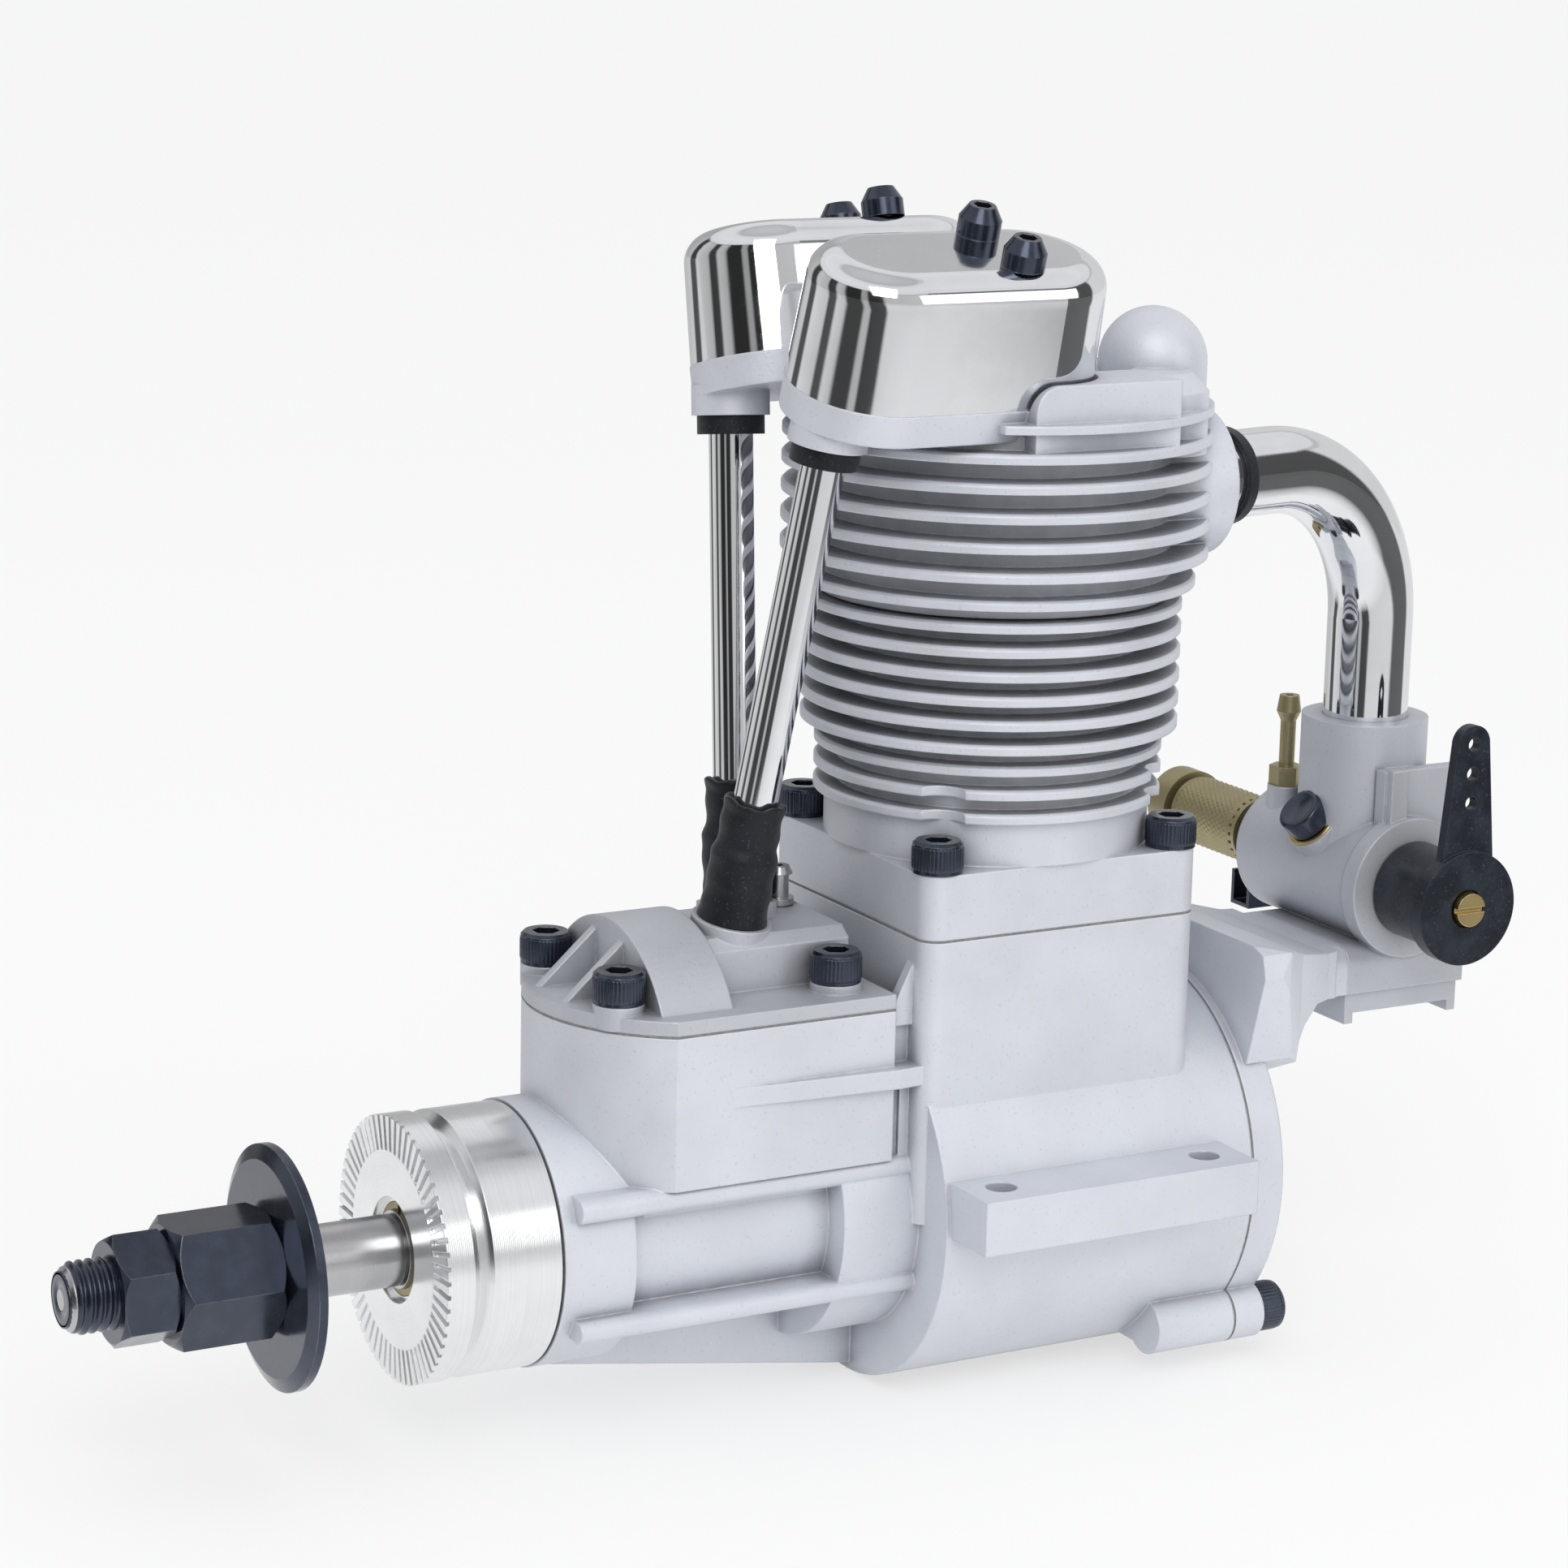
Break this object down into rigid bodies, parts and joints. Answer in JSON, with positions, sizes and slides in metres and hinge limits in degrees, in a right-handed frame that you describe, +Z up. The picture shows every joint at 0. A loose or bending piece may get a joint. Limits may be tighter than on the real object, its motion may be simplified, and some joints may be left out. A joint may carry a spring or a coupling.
{
  "type": "four-stroke model aircraft engine",
  "caption": "Single-cylinder overhead-valve model aircraft engine with beam mounts, chromed rocker covers, rear carburettor and threaded propeller shaft.",
  "frame": {"origin": "centre of the four beam bolt holes on the undersides of the mounting beams, level with the crankshaft axis", "axes": "+X across the engine to the side with the throttle arm, +Y rearwards along the crankshaft away from the propeller, +Z up the cylinder"},
  "size_m": [0.069, 0.1738, 0.1358],
  "materials": {
    "cast_aluminium": "fine blasted casting",
    "machined_aluminium": "turned",
    "steel": "ground",
    "black_steel": "oil blackened",
    "chrome": "bright plated",
    "brass": "turned",
    "black_rubber": "satin",
    "black_plastic": "moulded",
    "gasket_paper": "pressed fibre",
    "cast_iron": "lapped"
  },
  "bodies": {
    "engine_frame": {"crankcase": "cast_aluminium", "rear_cover": "cast_aluminium", "rear_cover_gasket": "gasket_paper", "rear_cover_screws": "black_steel", "front_bearing": "steel", "rear_bearing": "steel", "cam_cover": "cast_aluminium", "cam_cover_gasket": "gasket_paper", "cam_cover_screws": "black_steel", "breather_nipple": "steel", "cam_axle": "steel", "guides": "brass", "pushrod_boots": "black_rubber", "pushrod_tubes": "chrome", "pushrod_grommets": "black_rubber", "cylinder": "cast_aluminium", "cylinder_gasket": "gasket_paper", "cylinder_screws": "black_steel", "glow_plug": "steel", "intake_spring": "steel", "exhaust_spring": "steel", "rocker_shafts": "steel", "intake_rocker_cover": "chrome", "exhaust_rocker_cover": "chrome", "rocker_cover_screws": "black_steel", "intake_manifold": "chrome", "manifold_seal": "black_rubber", "carburettor_body": "cast_aluminium", "needle_seat": "brass", "ratchet_spring": "black_steel", "fuel_nipple": "brass"},
    "crank": {"crankshaft": "steel", "taper_collet": "brass", "drive_washer": "machined_aluminium"},
    "propeller_fixing": {"prop_washer": "black_steel", "prop_nut": "black_steel", "lock_nut": "black_steel"},
    "cam": {"camshaft": "steel"},
    "piston_assembly": {"piston": "machined_aluminium", "piston_ring": "cast_iron", "gudgeon_pin": "steel"},
    "rod": {"connecting_rod": "machined_aluminium", "crank_pin": "steel"},
    "intake_rocker_arm": {"intake_rocker": "steel", "intake_adjuster": "black_steel"},
    "intake_lifter": {"intake_pushrod": "steel", "intake_tappet": "steel"},
    "intake_poppet": {"intake_valve": "steel", "intake_retainer": "steel"},
    "exhaust_rocker_arm": {"exhaust_rocker": "steel", "exhaust_adjuster": "black_steel"},
    "exhaust_lifter": {"exhaust_pushrod": "steel", "exhaust_tappet": "steel"},
    "exhaust_poppet": {"exhaust_valve": "steel", "exhaust_retainer": "steel"},
    "throttle": {"throttle_barrel": "brass", "throttle_arm": "black_plastic", "throttle_arm_screw": "brass"},
    "needle": {"needle_valve": "brass"},
    "idle_stop": {"idle_screw": "black_steel"}
  },
  "joints": [
    {"name": "crankshaft_spin", "type": "hinge", "parent": "engine_frame", "child": "crank", "pos_m": [0, -0.0415, 0], "axis": [0, 1, 0], "continuous": true},
    {"name": "propeller_fixing_slide", "type": "slide", "parent": "crank", "child": "propeller_fixing", "axis": [0, -1, 0], "range_m": [0, 0.045]},
    {"name": "camshaft_spin", "type": "hinge", "parent": "engine_frame", "child": "cam", "pos_m": [0, -0.0415, 0.0192], "axis": [0, 1, 0], "continuous": true},
    {"name": "piston_travel", "type": "slide", "parent": "engine_frame", "child": "piston_assembly", "axis": [0, 0, 1], "range_m": [-0.026, 0]},
    {"name": "gudgeon_hinge", "type": "hinge", "parent": "piston_assembly", "child": "rod", "pos_m": [0, -0.0015, 0.059], "axis": [0, 1, 0], "range_deg": [-5, 5]},
    {"name": "intake_rocker_swing", "type": "hinge", "parent": "engine_frame", "child": "intake_rocker_arm", "pos_m": [0.01234, -0.0165, 0.09892], "axis": [-0.9636, 0, 0.2672], "range_deg": [0, 17.33]},
    {"name": "intake_lifter_slide", "type": "slide", "parent": "engine_frame", "child": "intake_lifter", "axis": [0.1369, 0.1195, 0.9833], "range_m": [0, 0.0036]},
    {"name": "intake_valve_slide", "type": "slide", "parent": "engine_frame", "child": "intake_poppet", "axis": [-0.2672, 0, -0.9636], "range_m": [0, 0.0036], "stiffness_N_per_m": 1750, "springref_m": -0.006, "deforming": ["intake_spring"]},
    {"name": "exhaust_rocker_swing", "type": "hinge", "parent": "engine_frame", "child": "exhaust_rocker_arm", "pos_m": [-0.01234, -0.0165, 0.09892], "axis": [-0.9636, 0, -0.2672], "range_deg": [0, 17.33]},
    {"name": "exhaust_lifter_slide", "type": "slide", "parent": "engine_frame", "child": "exhaust_lifter", "axis": [-0.1378, 0.0388, 0.9897], "range_m": [0, 0.0036]},
    {"name": "exhaust_valve_slide", "type": "slide", "parent": "engine_frame", "child": "exhaust_poppet", "axis": [0.2672, 0, -0.9636], "range_m": [0, 0.0036], "stiffness_N_per_m": 1750, "springref_m": -0.006, "deforming": ["exhaust_spring"]},
    {"name": "throttle_turn", "type": "hinge", "parent": "engine_frame", "child": "throttle", "pos_m": [0.01, 0.0519, 0.0302], "axis": [1, 0, 0], "range_deg": [-40, 45]},
    {"name": "needle_turn", "type": "hinge", "parent": "engine_frame", "child": "needle", "pos_m": [-0.027, 0.0519, 0.0302], "axis": [1, 0, 0], "range_deg": [-540, 1080]},
    {"name": "idle_screw_turn", "type": "hinge", "parent": "engine_frame", "child": "idle_stop", "pos_m": [0, 0.04521, 0.03622], "axis": [0, -0.7431, 0.6691], "range_deg": [-360, 360]}
  ],
  "couplings": [
    {"joint": "camshaft_spin", "follows": "crankshaft_spin", "ratio": -0.5},
    {"joint": "intake_lifter_slide", "follows": "intake_valve_slide", "ratio": 1},
    {"joint": "intake_rocker_swing", "follows": "intake_valve_slide", "rad_per_m": 84.034},
    {"joint": "exhaust_lifter_slide", "follows": "exhaust_valve_slide", "ratio": 1},
    {"joint": "exhaust_rocker_swing", "follows": "exhaust_valve_slide", "rad_per_m": 84.034}
  ]
}
